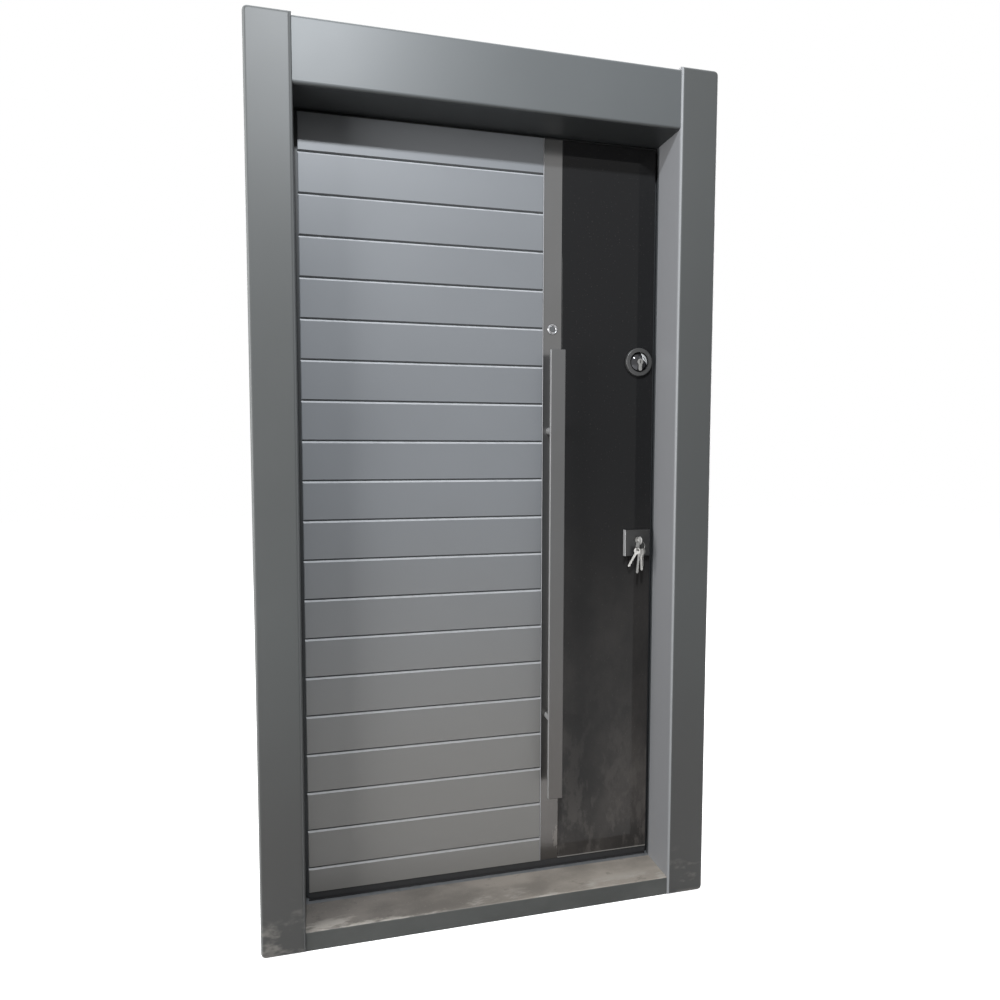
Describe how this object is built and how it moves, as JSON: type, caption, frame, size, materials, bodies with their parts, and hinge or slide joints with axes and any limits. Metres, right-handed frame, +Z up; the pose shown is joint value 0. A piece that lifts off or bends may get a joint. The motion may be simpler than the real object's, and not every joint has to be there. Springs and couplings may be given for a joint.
{
  "type": "entrance door",
  "caption": "Inward-opening security entrance door with casings, steel frame, grooved planks beside a black glass panel, long pull handle, two locks and keys.",
  "frame": {"origin": "on the floor at the middle of the doorway, in the plane of the wall's outer face behind the casings", "axes": "+Z up, +Y from the street side into the room, +X to the right seen from the street"},
  "size_m": [1.17, 0.255, 2.196],
  "materials": {
    "casing_paint": "satin anthracite paint",
    "threshold_paint": "worn satin anthracite paint",
    "frame_steel": "satin anthracite paint",
    "seal_rubber": "matt black",
    "plain_steel": "zinc plated",
    "hinge_steel": "satin anthracite paint",
    "leaf_steel": "satin anthracite paint",
    "core_wool": "mineral wool slab",
    "plank_paint": "satin anthracite paint",
    "strip_metal": "dark satin anodised",
    "bar_metal": "dark satin coated",
    "black_glass": "black enamelled on the back, polished",
    "backing_board": "matt black",
    "room_board": "satin anthracite paint",
    "viewer_chrome": "polished",
    "lens_glass": "clear lens",
    "cylinder_nickel": "satin nickel plated",
    "lock_plate": "dark satin",
    "dome_chrome": "black chrome",
    "room_fittings": "satin",
    "key_nickel": "nickel plated, worn"
  },
  "bodies": {
    "frame": {"left_casing": "casing_paint", "right_casing": "casing_paint", "head_casing": "casing_paint", "threshold": "threshold_paint", "hinge_jamb": "frame_steel", "lock_jamb": "frame_steel", "frame_head": "frame_steel", "frame_sill": "frame_steel", "frame_gasket": "seal_rubber", "strike_plate": "plain_steel", "hinge_pins": "plain_steel", "frame_screws": "plain_steel", "hinge_frame_half_1": "hinge_steel", "hinge_frame_half_2": "hinge_steel", "hinge_frame_half_3": "hinge_steel"},
    "leaf": {"leaf_tray": "leaf_steel", "leaf_back_skin": "leaf_steel", "leaf_rib": "leaf_steel", "insulation_hinge_side": "core_wool", "insulation_lock_side": "core_wool", "grooved_panel": "plank_paint", "handle_strip": "strip_metal", "glass_panel": "black_glass", "glass_backer": "backing_board", "inner_panel": "room_board", "bottom_sweep": "seal_rubber", "leaf_screws": "plain_steel", "pull_bar": "bar_metal", "pull_posts": "bar_metal", "handle_bolts": "plain_steel", "peephole_barrel": "viewer_chrome", "peephole_lens": "lens_glass", "peephole_rivet": "viewer_chrome", "lock_faceplate": "plain_steel", "main_lock_case": "plain_steel", "upper_lock_case": "plain_steel", "main_cylinder_body": "cylinder_nickel", "upper_cylinder_body": "cylinder_nickel", "escutcheon": "lock_plate", "rosette_ring": "lock_plate", "rosette_dome": "dome_chrome", "inner_escutcheon": "room_fittings", "upper_inner_rosette": "room_fittings", "hinge_leaf_half_1": "hinge_steel", "hinge_leaf_half_2": "hinge_steel", "hinge_leaf_half_3": "hinge_steel"},
    "viewer_cover": {"peephole_cover": "viewer_chrome"},
    "keyed_plug": {"main_outer_plug": "cylinder_nickel", "main_key": "key_nickel", "key_ring": "key_nickel"},
    "spare_key_bunch": {"spare_keys": "key_nickel"},
    "main_knob": {"main_inner_plug": "cylinder_nickel", "main_turn_knob": "room_fittings"},
    "upper_plug": {"upper_outer_plug": "cylinder_nickel"},
    "upper_knob": {"upper_inner_plug": "cylinder_nickel", "upper_turn_knob": "room_fittings"},
    "main_bolts": {"main_deadbolts": "plain_steel"},
    "upper_bolts": {"upper_deadbolts": "plain_steel"},
    "latch": {"latch_bolt": "plain_steel"},
    "lever": {"inner_lever": "room_fittings"}
  },
  "joints": [
    {"name": "leaf_swing", "type": "hinge", "parent": "frame", "child": "leaf", "pos_m": [-0.507, 0.21, 1.05], "axis": [0, 0, 1], "range_deg": [0, 95]},
    {"name": "lever_turn", "type": "hinge", "parent": "leaf", "child": "lever", "pos_m": [0.428, 0.193, 1.054], "axis": [0, -1, 0], "range_deg": [0, 45], "stiffness_Nm_per_rad": 1},
    {"name": "latch_slide", "type": "slide", "parent": "leaf", "child": "latch", "axis": [-1, 0, 0], "range_m": [0, 0.012]},
    {"name": "main_key_turn", "type": "hinge", "parent": "leaf", "child": "keyed_plug", "pos_m": [0.428, 0.088, 0.969], "axis": [0, 1, 0], "range_deg": [-90, 90]},
    {"name": "spare_keys_swing", "type": "hinge", "parent": "keyed_plug", "child": "spare_key_bunch", "pos_m": [0.428, 0.071, 0.9538], "axis": [0, 1, 0], "range_deg": [-90, 90]},
    {"name": "main_knob_turn", "type": "hinge", "parent": "leaf", "child": "main_knob", "pos_m": [0.428, 0.203, 0.969], "axis": [0, 1, 0], "range_deg": [0, 360]},
    {"name": "main_bolts_slide", "type": "slide", "parent": "leaf", "child": "main_bolts", "axis": [1, 0, 0], "range_m": [0, 0.02]},
    {"name": "upper_plug_turn", "type": "hinge", "parent": "leaf", "child": "upper_plug", "pos_m": [0.428, 0.088, 1.46], "axis": [0, 1, 0], "range_deg": [0, 360]},
    {"name": "upper_knob_turn", "type": "hinge", "parent": "leaf", "child": "upper_knob", "pos_m": [0.428, 0.203, 1.46], "axis": [0, 1, 0], "range_deg": [0, 360]},
    {"name": "upper_bolts_slide", "type": "slide", "parent": "leaf", "child": "upper_bolts", "axis": [1, 0, 0], "range_m": [0, 0.02]},
    {"name": "viewer_cover_swing", "type": "hinge", "parent": "leaf", "child": "viewer_cover", "pos_m": [0.179, 0.193, 1.556], "axis": [0, 1, 0], "range_deg": [0, 100]}
  ],
  "couplings": [
    {"joint": "latch_slide", "follows": "lever_turn", "m_per_rad": 0.015279},
    {"joint": "spare_keys_swing", "follows": "main_key_turn", "ratio": -1},
    {"joint": "main_knob_turn", "follows": "main_bolts_slide", "rad_per_m": 314.16},
    {"joint": "upper_knob_turn", "follows": "upper_bolts_slide", "rad_per_m": 314.16}
  ]
}
